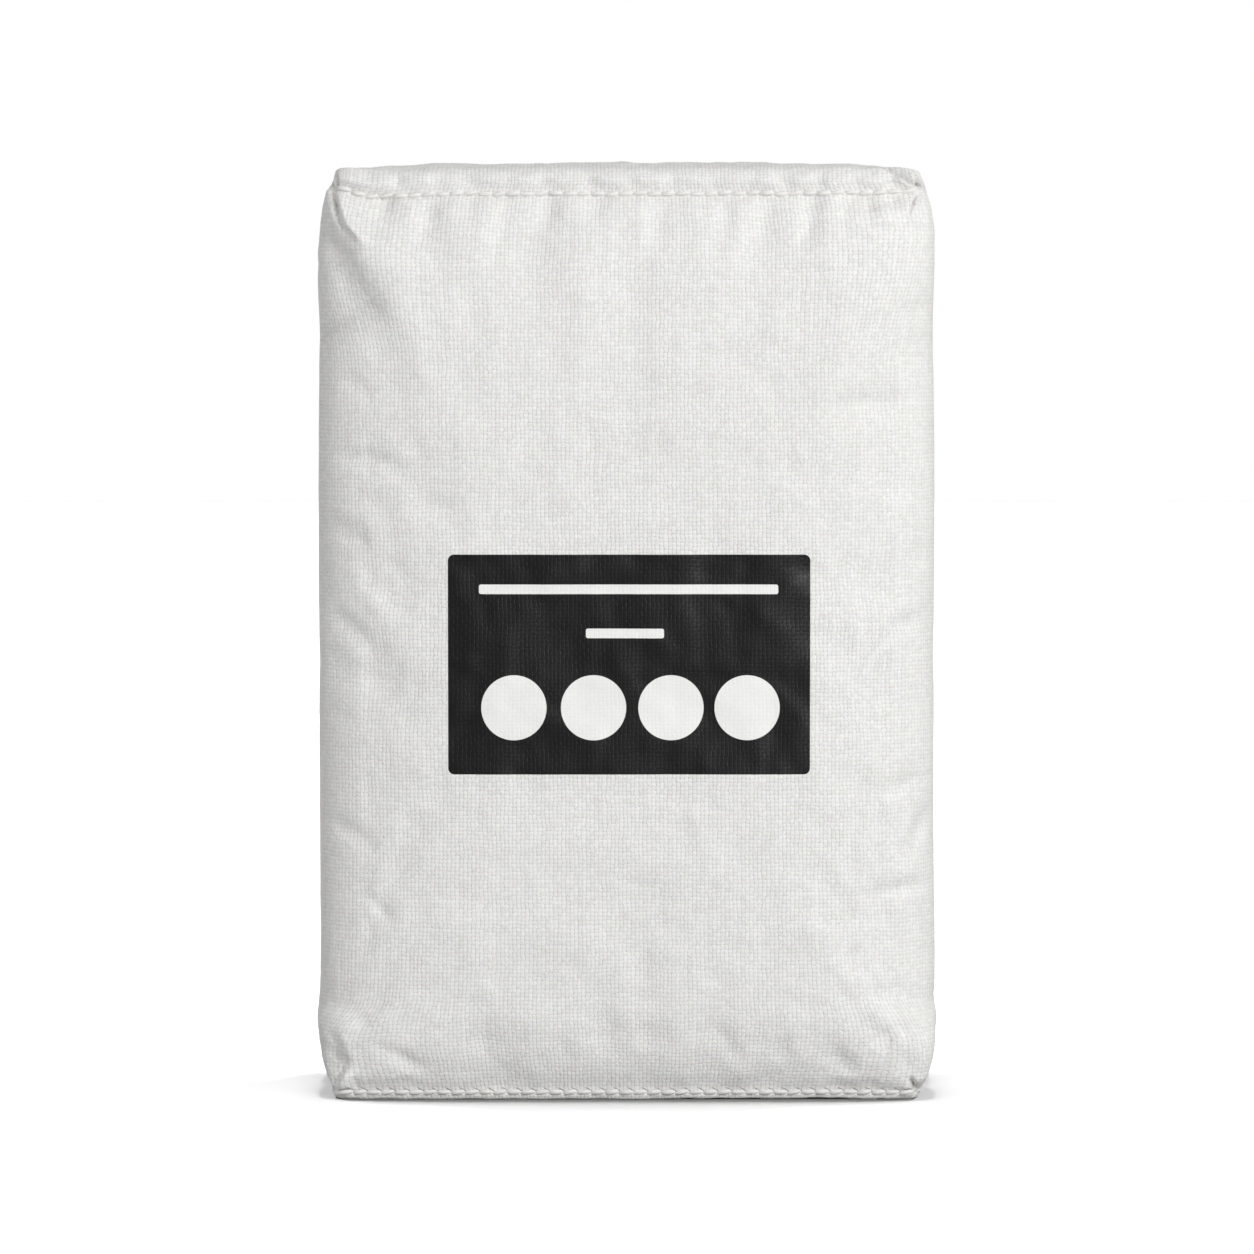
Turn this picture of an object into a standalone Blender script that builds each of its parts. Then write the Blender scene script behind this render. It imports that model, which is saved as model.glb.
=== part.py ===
"""A filled, sewn sack of cement mix standing upright.

Metres, +Z up, the printed face towards -Y, the base on Z = 0 and centred on the origin.
"""
import math

import bmesh
import bpy
from mathutils import Vector
from mathutils.bvhtree import BVHTree

# Outside size of the filled sack.
SACK_WIDTH = 0.303
SACK_DEPTH = 0.106
SACK_HEIGHT = 0.457

# Section through the sack: 2 would be an ellipse, a large number a plain rectangle.
# The filled body is soft, the sewn ends are held straight by their hems.
BODY_SQUARENESS = 4.1
HEM_SQUARENESS = 11.0

# Heights of the two seams, and the half width of the hems they close.
TOP_SEAM_HEIGHT = 0.4414
BOTTOM_SEAM_HEIGHT = 0.0052
HEM_HALF_WIDTH = 0.142

# How the front leans back to the top seam and tucks under to the bottom seam.
TOP_LEAN = 0.0155
TOP_LEAN_START = 0.300
TOP_LEAN_POWER = 4.0
FOOT_TUCK = 0.0105
FOOT_TUCK_START = 0.050
FOOT_TUCK_POWER = 3.0
BACK_LEAN = 0.016
BACK_LEAN_START = 0.350

# Where the sides start to draw in towards the narrower hems.
TOP_SHOULDER_START = 0.405
TOP_SHOULDER = 0.0048
FOOT_SHOULDER_START = 0.032
FOOT_SHOULDER = 0.0036

# The groove the top thread pulls into the cloth, and the soft roll of the hem above it.
SEAM_GROOVE = 0.0012
SEAM_GROOVE_REACH = 0.0026
HEM_ROLL = 0.0100

# The top panel: its dome, its fall towards the back and its arch across the width.
TOP_DOME = 0.0075
BACK_FALL = 0.009
TOP_ARCH = 0.0016

# The crease down the middle of each side, deepest near the top.
GUSSET_CREASE_TOP = 0.0115
GUSSET_CREASE_FOOT = 0.0050
GUSSET_CREASE_MIDDLE = 0.0015
GUSSET_CREASE_REACH = 0.012

# The upper left corner falls back behind a fold of the front: where the fold runs down from
# the hem (across, up), how far to its left the cloth keeps falling, how far back it ends, and
# the share of the fold's length after which it runs out.
CORNER_FOLD = ((-0.1400, 0.444), (-0.1340, 0.430), (-0.1260, 0.4205), (-0.1180, 0.407), (-0.1080, 0.384))
CORNER_FALL_REACH = 0.017
CORNER_FALL = 0.018
CORNER_FALL_END = 0.65
# The fall fades out over the front half of the side, between these distances in front of the middle.
CORNER_FADE = (-0.004, 0.032)

# Main folds of the front, in from its sides and down from the top seam: start and end
# (across, up), reach, height. A height below zero is a hollow.
FRONT_FOLDS = (
    ((-0.145, 0.421), (-0.104, 0.352), 0.013, 0.0020),
    ((-0.143, 0.314), (-0.104, 0.305), 0.012, -0.0016),
    ((-0.146, 0.281), (-0.117, 0.266), 0.012, -0.0016),
    ((-0.144, 0.238), (-0.114, 0.212), 0.012, -0.0022),
    ((-0.145, 0.136), (-0.118, 0.119), 0.012, -0.0015),
    ((-0.132, 0.104), (-0.109, 0.083), 0.012, -0.0012),
    ((0.102, 0.337), (0.142, 0.342), 0.012, -0.0016),
    ((0.124, 0.225), (0.147, 0.236), 0.012, -0.0016),
    ((0.146, 0.105), (0.114, 0.098), 0.012, -0.0014),
    ((0.098, 0.439), (0.090, 0.412), 0.011, -0.0024),
    ((0.049, 0.439), (0.047, 0.410), 0.011, -0.0018),
    ((-0.036, 0.439), (-0.035, 0.420), 0.011, -0.0018),
    ((-0.093, 0.439), (-0.089, 0.414), 0.011, -0.0018),
    ((-0.119, 0.027), (-0.094, 0.011), 0.011, -0.0014),
    ((0.130, 0.034), (0.142, 0.030), 0.010, 0.0014),
)
FRONT_FOLD_FADE = 4     # power of the share of the depth, so that they fade round the corners

# Rows of the cage, from the floor up. They close up around the two seams.
CAGE_HEIGHTS = (
    0.0, 0.0026, BOTTOM_SEAM_HEIGHT, 0.0085, 0.016, 0.030, 0.052, 0.090, 0.140, 0.195, 0.250, 0.300,
    0.345, 0.380, 0.405, 0.422, 0.432, 0.4382, TOP_SEAM_HEIGHT, 0.4446, 0.4490, 0.4535,
)
CAGE_COLUMNS = 14

# Lines of the cage from the front to the back, as shares of the half depth. They close up
# around the side crease and the corners.
CAGE_DEPTHS = (-1.0, -0.88, -0.60, -0.22, 0.0, 0.22, 0.60, 0.88, 1.0)

# The closing thread: one stitch after another along each hem.
STITCH_LENGTH = 0.0070
STITCHES = 39
STITCH_POINTS = 4
STITCH_SLANT = 0.00045
THREAD_RADIUS = 0.0009
THREAD_GAP = 0.0005
SEAM_DIP = 0.0012

COLLECTION_NAME = "Cement_mix_bag"
SACK_COLOUR = (0.780, 0.775, 0.755, 1.0)
SACK_ROUGHNESS = 0.62
THREAD_COLOUR = (0.820, 0.810, 0.780, 1.0)
THREAD_ROUGHNESS = 0.70


def clear_scene():
    for item in list(bpy.data.objects):
        bpy.data.objects.remove(item, do_unlink=True)


def make_collection(name):
    collection = bpy.data.collections.new(name)
    bpy.context.scene.collection.children.link(collection)
    return collection


def make_material(name, colour, roughness):
    material = bpy.data.materials.new(name)
    material.use_nodes = True
    shader = material.node_tree.nodes["Principled BSDF"]
    shader.inputs["Base Color"].default_value = colour
    shader.inputs["Roughness"].default_value = roughness
    shader.inputs["Metallic"].default_value = 0.0
    material.diffuse_color = colour
    return material


def share(value, start, end):
    """How far the value has gone from start to end, held between 0 and 1."""
    return min(max((value - start) / (end - start), 0.0), 1.0)


def eased(value, start, end):
    part = share(value, start, end)
    return part * part * (3.0 - 2.0 * part)


def half_width(height):
    """Half the width of the sack at a height, drawn in towards both hems."""
    width = SACK_WIDTH / 2
    width -= TOP_SHOULDER * share(height, TOP_SHOULDER_START, TOP_SEAM_HEIGHT) ** 2
    width -= FOOT_SHOULDER * share(height, FOOT_SHOULDER_START, BOTTOM_SEAM_HEIGHT) ** 2
    hem = eased(height, TOP_SEAM_HEIGHT - 0.001, TOP_SEAM_HEIGHT + 0.003)
    width += (HEM_HALF_WIDTH - width) * hem
    foot = eased(height, BOTTOM_SEAM_HEIGHT + 0.001, BOTTOM_SEAM_HEIGHT - 0.003)
    return width + (HEM_HALF_WIDTH - width) * foot


def front_reach(height):
    """How far the middle of the front stands from the middle plane at a height."""
    reach = SACK_DEPTH / 2
    reach -= TOP_LEAN * share(height, TOP_LEAN_START, TOP_SEAM_HEIGHT) ** TOP_LEAN_POWER
    reach -= FOOT_TUCK * share(height, FOOT_TUCK_START, BOTTOM_SEAM_HEIGHT) ** FOOT_TUCK_POWER
    reach -= SEAM_GROOVE * math.exp(-((height - TOP_SEAM_HEIGHT) / SEAM_GROOVE_REACH) ** 2)
    reach -= HEM_ROLL * share(height, TOP_SEAM_HEIGHT, 0.4545) ** 2.2
    return reach


def back_reach(height):
    reach = SACK_DEPTH / 2
    reach -= BACK_LEAN * share(height, BACK_LEAN_START, 0.4535) ** 3.0
    reach -= FOOT_TUCK * share(height, FOOT_TUCK_START, 0.0) ** FOOT_TUCK_POWER
    return reach


def gusset_crease(height, depth_position):
    """How far the side is drawn in at its middle crease."""
    upper = eased(height, 0.26, 0.43)
    lower = eased(height, 0.14, 0.02)
    depth = GUSSET_CREASE_MIDDLE + (GUSSET_CREASE_TOP - GUSSET_CREASE_MIDDLE) * upper
    depth += (GUSSET_CREASE_FOOT - GUSSET_CREASE_MIDDLE) * lower
    return depth * math.exp(-(depth_position / GUSSET_CREASE_REACH) ** 2)


def squareness(height):
    top = eased(height, 0.36, TOP_SEAM_HEIGHT)
    foot = eased(height, 0.05, BOTTOM_SEAM_HEIGHT)
    return BODY_SQUARENESS + (HEM_SQUARENESS - BODY_SQUARENESS) * max(top, foot)


def section_point(across, along, power):
    """Where a point of the square from -1 to 1 lands in the soft section of the sack."""
    ring = max(abs(across), abs(along))
    if ring == 0.0:
        return 0.0, 0.0
    edge_across = across / ring
    edge_along = along / ring
    size = (abs(edge_across) ** power + abs(edge_along) ** power) ** (1.0 / power)
    return ring * edge_across / size, ring * edge_along / size


def spread(position):
    """Moves evenly spaced cage lines closer together towards the corners."""
    return math.sin(position * math.pi / 2)


def side_reach(height, section_x, section_y, ring, front, back):
    """How far out a point of the section stands, with the side crease taken off."""
    y = (back - front) / 2 + (back + front) / 2 * section_y
    reach = half_width(height) * abs(section_x)
    if abs(section_x) > 0.7:
        reach -= gusset_crease(height, y) * ring ** 4
    return reach


def widest_reach(height, front, back):
    """The furthest the cage reaches to the side, found along its side edge."""
    power = squareness(height)
    reaches = []
    for along in CAGE_DEPTHS:
        section_x, section_y = section_point(1.0, along, power)
        reaches.append(side_reach(height, section_x, section_y, 1.0, front, back))
    return max(reaches)


def split_cage(bm, axis, parts):
    """Cuts every edge that runs along one axis into equal parts."""
    running = []
    for edge in bm.edges:
        run = edge.verts[1].co - edge.verts[0].co
        if abs(run[axis]) > 0.5 * run.length:
            running.append(edge)
    bmesh.ops.subdivide_edges(bm, edges=running, cuts=parts - 1, use_grid_fill=True)


def step_of(position, count):
    """Which of the evenly spaced steps from -1 to 1 a position lies on."""
    return round((position + 1.0) / 2.0 * (count - 1))


def beside_line(x, z, start, end):
    """Distance from a line, positive on its right going down it, and how far along it that is."""
    run_x = end[0] - start[0]
    run_z = end[1] - start[1]
    length = math.hypot(run_x, run_z)
    part = ((x - start[0]) * run_x + (z - start[1]) * run_z) / length ** 2
    part = min(max(part, 0.0), 1.0)
    away = math.hypot(x - start[0] - part * run_x, z - start[1] - part * run_z)
    on_right = run_z * (x - start[0]) - run_x * (z - start[1]) > 0.0
    return (away if on_right else -away), part


def corner_fall(x, y, z):
    """How far back the cloth stands beside the fold of the upper left corner."""
    nearest = None
    last = len(CORNER_FOLD) - 1
    for step in range(last):
        away, part = beside_line(x, z, CORNER_FOLD[step], CORNER_FOLD[step + 1])
        if nearest is None or abs(away) < abs(nearest):
            nearest = away
            along_fold = (step + part) / last
    fall = CORNER_FALL * eased(nearest, 0.0, CORNER_FALL_REACH) * eased(along_fold, 1.0, CORNER_FALL_END)
    return fall * eased(-y, *CORNER_FADE)


def front_folds(x, z):
    """How far the folds lift the front at a place."""
    lift = 0.0
    for start, end, reach, height in FRONT_FOLDS:
        away, _ = beside_line(x, z, start, end)
        lift += height * math.exp(-(away / reach) ** 2)
    return lift


def cage_point(cube_point):
    """Moves a point of the divided cube onto the sack."""
    across = spread(cube_point.x)
    along = CAGE_DEPTHS[step_of(cube_point.y, len(CAGE_DEPTHS))]
    row = step_of(cube_point.z, len(CAGE_HEIGHTS))
    height = CAGE_HEIGHTS[row]
    section_x, section_y = section_point(across, along, squareness(height))
    front = front_reach(height)
    back = back_reach(height)
    ring = max(abs(across), abs(along))
    reach = side_reach(height, section_x, section_y, ring, front, back)
    reach *= half_width(height) / widest_reach(height, front, back)
    x = math.copysign(reach, section_x)
    y = (back - front) / 2 + (back + front) / 2 * section_y
    z = height
    topmost = eased(height, TOP_SEAM_HEIGHT, CAGE_HEIGHTS[-1])
    behind = (along + 1.0) / 2.0
    z -= BACK_FALL * topmost * behind
    if row == len(CAGE_HEIGHTS) - 1:
        z += TOP_DOME * (1.0 - ring * ring)
    z -= TOP_ARCH * topmost * (x / HEM_HALF_WIDTH) ** 2
    if section_y < 0.0 and 0 < row < len(CAGE_HEIGHTS) - 1:
        y -= front_folds(x, z) * section_y ** FRONT_FOLD_FADE
        y += corner_fall(x, y, z)
    return Vector((x, y, z))


def fit_to_size(mesh, size):
    """Brings the smoothed body to the outside size, standing on Z = 0."""
    for axis in range(3):
        values = [vert.co[axis] for vert in mesh.vertices]
        low = min(values)
        high = max(values)
        scale = size[axis] / (high - low)
        base = low if axis == 2 else (low + high) / 2
        for vert in mesh.vertices:
            vert.co[axis] = (vert.co[axis] - base) * scale


def make_sack(collection, material):
    bm = bmesh.new()
    bmesh.ops.create_cube(bm, size=2.0)
    split_cage(bm, 0, CAGE_COLUMNS)
    split_cage(bm, 1, len(CAGE_DEPTHS) - 1)
    split_cage(bm, 2, len(CAGE_HEIGHTS) - 1)
    for vert in bm.verts:
        vert.co = cage_point(vert.co.copy())
    crease = bm.edges.layers.float.new("crease_edge")
    for edge in bm.edges:
        on_floor = [vert.co.z < 1e-6 for vert in edge.verts]
        rim = any(face.normal.z > -0.5 for face in edge.link_faces)
        if all(on_floor) and rim:
            edge[crease] = 0.6
    bmesh.ops.recalc_face_normals(bm, faces=bm.faces)
    mesh = bpy.data.meshes.new("sack")
    bm.to_mesh(mesh)
    bm.free()
    sack = bpy.data.objects.new("sack", mesh)
    collection.objects.link(sack)
    sack.data.materials.append(material)
    smooth = sack.modifiers.new("Soft cloth", "SUBSURF")
    smooth.levels = 1
    smooth.render_levels = 1
    bpy.context.view_layer.objects.active = sack
    bpy.ops.object.modifier_apply(modifier=smooth.name)
    fit_to_size(sack.data, (SACK_WIDTH, SACK_DEPTH, SACK_HEIGHT))
    for polygon in sack.data.polygons:
        polygon.use_smooth = True
    return sack


def seam_height(middle_height, x):
    """The seam runs nearly level and lifts a little at both ends."""
    return middle_height + SEAM_DIP * abs(x / HEM_HALF_WIDTH) ** 6


def thread_path(sack, middle_height):
    """Points along a seam, lying just off the front of the sack."""
    surface = BVHTree.FromPolygons(
        [vert.co for vert in sack.data.vertices],
        [polygon.vertices for polygon in sack.data.polygons],
    )
    points = []
    steps = STITCHES * STITCH_POINTS
    for step in range(steps + 1):
        x = (step / STITCH_POINTS - STITCHES / 2) * STITCH_LENGTH
        phase = 2.0 * math.pi * step / STITCH_POINTS
        height = seam_height(middle_height, x) + STITCH_SLANT * math.cos(phase)
        place, normal, _, _ = surface.ray_cast(Vector((x, -1.0, height)), Vector((0.0, 1.0, 0.0)))
        normal.z = 0.0
        normal.normalize()
        if normal.y > 0.0:
            normal = -normal
        points.append(place + normal * (THREAD_RADIUS + THREAD_GAP))
    return points


def make_thread(name, collection, material, points):
    curve = bpy.data.curves.new(name, "CURVE")
    curve.dimensions = "3D"
    curve.bevel_depth = THREAD_RADIUS
    curve.bevel_resolution = 2
    curve.use_fill_caps = True
    spline = curve.splines.new("POLY")
    spline.points.add(len(points) - 1)
    for spline_point, place in zip(spline.points, points):
        spline_point.co = (place.x, place.y, place.z, 1.0)
    spline.use_smooth = True
    thread = bpy.data.objects.new(name, curve)
    collection.objects.link(thread)
    thread.data.materials.append(material)
    return thread


def main():
    clear_scene()
    collection = make_collection(COLLECTION_NAME)
    cloth = make_material("woven_cloth", SACK_COLOUR, SACK_ROUGHNESS)
    thread = make_material("closing_thread", THREAD_COLOUR, THREAD_ROUGHNESS)
    sack = make_sack(collection, cloth)
    top_points = thread_path(sack, TOP_SEAM_HEIGHT)
    make_thread("top_stitching", collection, thread, top_points)
    bottom_points = thread_path(sack, BOTTOM_SEAM_HEIGHT)
    make_thread("bottom_stitching", collection, thread, bottom_points)


main()
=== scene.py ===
import math

import bmesh
import bpy
import numpy as np
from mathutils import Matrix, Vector
from mathutils.bvhtree import BVHTree


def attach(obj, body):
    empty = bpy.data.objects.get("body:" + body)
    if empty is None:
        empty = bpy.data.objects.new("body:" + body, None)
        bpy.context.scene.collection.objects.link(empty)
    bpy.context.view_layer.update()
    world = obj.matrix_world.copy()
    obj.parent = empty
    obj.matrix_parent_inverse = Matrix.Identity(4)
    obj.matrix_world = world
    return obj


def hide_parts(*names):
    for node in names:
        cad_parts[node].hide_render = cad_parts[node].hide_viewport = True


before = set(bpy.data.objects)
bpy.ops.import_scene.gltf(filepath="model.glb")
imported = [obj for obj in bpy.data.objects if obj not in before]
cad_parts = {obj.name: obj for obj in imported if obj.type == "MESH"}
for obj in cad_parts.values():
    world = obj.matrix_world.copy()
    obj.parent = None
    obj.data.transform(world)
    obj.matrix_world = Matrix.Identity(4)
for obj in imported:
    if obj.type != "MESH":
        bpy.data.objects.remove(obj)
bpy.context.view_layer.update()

print("solids loaded")


# small helpers that every piece uses

def easedStep(value, start, end):
    t = np.clip((value - start) / (end - start), 0.0, 1.0)
    return t * t * (3.0 - 2.0 * t)


def straightStep(value, start, end):
    return np.clip((value - start) / (end - start), 0.0, 1.0)


def bump(value, middle, reach):
    return np.exp(-((value - middle) / reach) ** 2)


def readPoints(mesh, what="co"):
    flat = np.empty(len(mesh.vertices) * 3)
    mesh.vertices.foreach_get(what, flat)
    return flat.reshape(-1, 3)


def writePoints(mesh, points):
    mesh.vertices.foreach_set("co", np.ascontiguousarray(points, dtype=np.float32).ravel())
    mesh.update()


def deselectAll():
    if bpy.context.object and bpy.context.object.mode != "OBJECT":
        bpy.ops.object.mode_set(mode="OBJECT")
    bpy.ops.object.select_all(action="DESELECT")


def makeActive(piece):
    deselectAll()
    piece.select_set(True)
    bpy.context.view_layer.objects.active = piece


def applyModifier(piece, modifier):
    makeActive(piece)
    bpy.ops.object.modifier_apply(modifier=modifier.name)


# the sack: a divided cube laid out as the woven tube, filled by cloth simulation

sack = {
    "width": 0.3024,
    "depth": 0.105,
    "topSeam": 0.4414,
    "bottomSeam": 0.0046,
    "topRing": 0.4535,          # where the walls turn over into the top panel
    "lines": (64, 26, 112),     # of the cage: across, from front to back, and up
    "crowding": (0.25, 0.69, 0.60),     # of those lines towards the edges
    "uvLength": 0.5,            # metres of cloth in one UV unit
    "bodySquareness": 4.5,
    "hemSquareness": 11.0,
    "footSquareness": 20.0,
    "topLean": 0.014,           # how far the front stands back under the top seam, and further above it
    "hemLean": 0.0100,
    "backLean": 0.016,
    "footTuck": 0.0067,
    "topPull": 0.0035,          # what the closing thread pulls in
    "footPull": 0.0012,
    "footSpread": 0.0011,       # the hem spreads on the floor
    "footCurl": 0.0016,         # and curls under, at the front and at its ends
    "footCurlAside": 0.0024,
    "shoulder": 0.0048,         # how much narrower on each side under the top seam, and at the foot
    "heel": 0.0057,
    "heelSwell": 0.0018,        # gives back what the filling draws in there
    "topHemHalf": 0.1432,       # half the width of both hems
    "footHemHalf": 0.1450,
    "aside": 0.0004,            # to the right, and as much again at the top hem
    "hemEndCurl": 0.0018,       # the right end of the top hem stands out
    "gusset": 0.0015,           # depth of the side's crease: everywhere, under the top, at the foot
    "gussetTop": 0.0095,
    "gussetFoot": 0.0040,
    "gussetHalf": 0.011,
    "topSlope": 0.009,          # of the top panel, down towards the back
    "topDome": 0.0060,
    "topArch": 0.0010,          # how much lower the top hem is at its ends
    "archHalf": 0.1420,
    "frames": 22,               # cloth simulation
    "pressure": 2.6,
    "slack": 0.016,
    "slackAtSeams": 0.045,
    "leastHeld": 0.03,
    "swellingPasses": 110,      # how broad a swelling is taken back: the folds stay, and the size does too
    "foldStrength": 0.70,       # at the ends and edges
    "foldStrengthInside": 0.45,     # in the middle of the front and back
    "sideCalm": 0.90,           # how much flatter the sides are kept
    "mostMove": 0.0070,
    "normalPasses": 12,         # how smooth the direction is that the listed folds move in
    "seamHold": 0.8,            # how much of a fold the closing thread holds down
    "dents": (("broad dents", 0.030, 0.0022), ("small dents", 0.011, 0.0011)),      # size, height
    "evenSides": 0.85,          # how much of the dents the sides are spared
}


def lineTable(count, crowding):
    # evenly spaced lines from -1 to 1, crowded towards both ends
    t = np.linspace(-1.0, 1.0, count + 1)
    return crowding * np.sin(t * math.pi / 2) + (1.0 - crowding) * t


def seamOffset(x):
    # the top seam's own line: up at the left end, a dip beside it, and up a little at the right
    marks = [-0.150, -0.1393, -0.132, -0.1247, -0.112, -0.080, 0.0, 0.100, 0.125, 0.142, 0.150]
    lifts = [0.0030, 0.0026, 0.0003, -0.0018, -0.0013, -0.0003, -0.0004, 0.0, 0.0004, 0.0013, 0.0016]
    return np.interp(x, marks, lifts)


# the outline by height: the plain numbers say where a change begins and is full, or where it lies and reaches

def frontReach(h):
    reach = sack["depth"] / 2 - sack["topLean"] * straightStep(h, 0.300, sack["topSeam"]) ** 4
    reach -= sack["footTuck"] * straightStep(h, 0.038, sack["bottomSeam"]) ** 2.0
    reach -= sack["topPull"] * bump(h, sack["topSeam"], 0.0027)
    reach -= sack["footPull"] * bump(h, sack["bottomSeam"] + 0.0010, 0.0016)
    reach += sack["footSpread"] * straightStep(h, 0.0036, 0.0012)
    reach -= sack["footCurl"] * straightStep(h, 0.0011, 0.0) ** 1.7
    reach -= sack["hemLean"] * straightStep(h, sack["topSeam"], 0.4545) ** 3.3
    return reach


def backReach(h):
    reach = sack["depth"] / 2 - sack["backLean"] * straightStep(h, 0.360, sack["topRing"]) ** 3
    reach -= sack["footTuck"] * straightStep(h, 0.050, 0.0) ** 3
    return reach


def halfWidth(h):
    width = sack["width"] / 2 - sack["shoulder"] * straightStep(h, 0.405, sack["topSeam"]) ** 2
    width -= sack["heel"] * straightStep(h, 0.046, sack["bottomSeam"]) ** 1.8
    width += sack["heelSwell"] * bump(h, 0.040, 0.024)
    width += (sack["topHemHalf"] - width) * easedStep(h, sack["topSeam"] + 0.0018, sack["topSeam"] + 0.0046)
    width += (sack["footHemHalf"] - width) * easedStep(h, sack["bottomSeam"] + 0.0010, 0.0020)
    width -= sack["footCurlAside"] * straightStep(h, 0.0026, 0.0) ** 1.7
    return width


def creaseDepth(h):
    # the side gusset: hardly there at half height, folded well in under the top
    depth = sack["gusset"] + sack["gussetTop"] * easedStep(h, 0.27, 0.435)
    return depth + sack["gussetFoot"] * easedStep(h, 0.13, 0.015)


def sectionPoint(across, along, power):
    ring = np.maximum(np.maximum(np.abs(across), np.abs(along)), 1e-9)
    edgeAcross, edgeAlong = across / ring, along / ring
    size = (np.abs(edgeAcross) ** power + np.abs(edgeAlong) ** power) ** (1.0 / power)
    size = np.maximum(size, 1e-9)
    return across / size, along / size, ring


def squareness(h):
    body = sack["bodySquareness"]
    power = body + (sack["hemSquareness"] - body) * easedStep(h, 0.36, sack["topSeam"])
    power += (sack["footSquareness"] - body) * easedStep(h, 0.05, sack["bottomSeam"])
    return power


def sackShape(across, along, h, onTop):
    sx, sy, ring = sectionPoint(across, along, squareness(h))
    front, back = frontReach(h), backReach(h)
    y = (back - front) / 2 + (back + front) / 2 * sy
    x = halfWidth(h) * sx + sack["aside"] + sack["aside"] * easedStep(h, 0.405, 0.435)
    x += (0.0010 * bump(h, 0.080, 0.035) - 0.0012 * bump(h, 0.395, 0.030)) * easedStep(sx, 0.5, 1.0)
    x += sack["hemEndCurl"] * bump(h, 0.4465, 0.0036) * easedStep(sx, 0.80, 0.98)
    crease = creaseDepth(h) * np.exp(-np.abs(y / sack["gussetHalf"]) ** 1.4)
    x -= np.sign(x) * (crease * ring ** 4 * easedStep(np.abs(sx), 0.72, 0.9))
    topmost = easedStep(h, sack["topSeam"], sack["topRing"])
    z = h - sack["topSlope"] * topmost * (along + 1.0) / 2.0
    z = z + onTop * sack["topDome"] * (1.0 - sy * sy) * (1.0 - np.abs(sx) ** 8)
    z += topmost * (0.0004 - sack["topArch"] * (x / sack["archHalf"]) ** 2)
    z += seamOffset(x) * bump(h, sack["topSeam"], 0.010) * easedStep(-along, 0.2, 0.9)
    return np.stack([x, y, z], axis=-1)


def sackLines():
    across, along, up = [lineTable(*pair) for pair in zip(sack["lines"], sack["crowding"])]
    up = (up + 1.0) / 2.0 * sack["topRing"]
    for seam in (sack["topSeam"], sack["bottomSeam"]):
        up[np.argmin(np.abs(up - seam))] = seam
    return across, along, up


def clothLength(points):
    steps = np.linalg.norm(np.diff(points, axis=0), axis=1)
    run = np.concatenate([[0.0], np.cumsum(steps)])
    return run - run[-1] / 2.0


def layWeaveMap(mesh, cube, column, depthRow, row):
    # the weave's own map: the same scale on every panel, measured along the cloth
    across, along, up = sackLines()
    halfway = up[len(up) // 2]
    acrossRun = clothLength(sackShape(across, -np.ones_like(across), np.full_like(across, halfway), 0.0))
    alongRun = clothLength(sackShape(np.ones_like(along), along, np.full_like(along, halfway), 0.0))
    upRun = clothLength(sackShape(np.zeros_like(up), -np.ones_like(up), up, 0.0))
    upRun -= upRun[0]
    halfRound = acrossRun[-1] * 2 + alongRun[-1] * 2
    weaveMap = mesh.uv_layers.new(name="weave")
    loopVerts = np.empty(len(mesh.loops), dtype=int)
    mesh.loops.foreach_get("vertex_index", loopVerts)
    uv = np.zeros((len(mesh.loops), 2))
    for polygon in mesh.polygons:
        corners = list(polygon.loop_indices)
        verts = loopVerts[corners]
        centre = cube[verts].mean(axis=0)
        side = int(np.argmax(np.abs(centre)))
        if side == 1:       # front and back
            turn = 1.0 if centre[1] < 0 else -1.0
            uv[corners, 0] = turn * acrossRun[column[verts]] + (0.0 if turn > 0 else halfRound)
            uv[corners, 1] = upRun[row[verts]]
        elif side == 0:     # the two gussets
            turn = 1.0 if centre[0] > 0 else -1.0
            uv[corners, 0] = turn * (acrossRun[-1] + alongRun[-1] + alongRun[depthRow[verts]])
            uv[corners, 1] = upRun[row[verts]]
        else:               # top and bottom panels
            turn = 1.0 if centre[2] > 0 else -1.0
            upStart = upRun[-1] if turn > 0 else 0.0
            uv[corners, 0] = acrossRun[column[verts]]
            uv[corners, 1] = turn * (alongRun[depthRow[verts]] - alongRun[0]) + upStart
    weaveMap.data.foreach_set("uv", (uv / sack["uvLength"]).ravel())


def divideCube(piece):
    for axis, parts in enumerate(sack["lines"]):
        bpy.ops.object.mode_set(mode="EDIT")
        bpy.ops.mesh.select_mode(type="EDGE")
        bpy.ops.mesh.select_all(action="DESELECT")
        editMesh = bmesh.from_edit_mesh(piece.data)
        for edge in editMesh.edges:
            run = edge.verts[1].co - edge.verts[0].co
            edge.select = abs(run[axis]) > 0.5 * run.length
        bmesh.update_edit_mesh(piece.data)
        bpy.ops.mesh.subdivide(number_cuts=parts - 1, smoothness=0.0)
        bpy.ops.object.mode_set(mode="OBJECT")


def makeSackCage():
    deselectAll()
    bpy.ops.mesh.primitive_cube_add(size=2.0, location=(0, 0, 0))
    piece = bpy.context.object
    piece.name = "wovenSack"
    divideCube(piece)

    mesh = piece.data
    cube = readPoints(mesh)
    column, depthRow, row = np.rint((cube + 1.0) / 2.0 * np.array(sack["lines"])).astype(int).T
    layWeaveMap(mesh, cube, column, depthRow, row)

    across, along, up = sackLines()
    a, d, h = across[column], along[depthRow], up[row]
    onTop = (row == row.max()).astype(float)
    onFloor = (row == 0).astype(float)
    writePoints(mesh, sackShape(a, d, h, onTop))
    for name, values in (("across", a), ("along", d), ("up", h), ("onFloor", onFloor)):
        layer = mesh.attributes.new(name, "FLOAT", "POINT")
        layer.data.foreach_set("value", values.astype(np.float32))
    makeActive(piece)
    bpy.ops.object.shade_smooth()
    return piece


def readLayer(mesh, name):
    values = np.empty(len(mesh.vertices))
    mesh.attributes[name].data.foreach_get("value", values)
    return values


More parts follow.
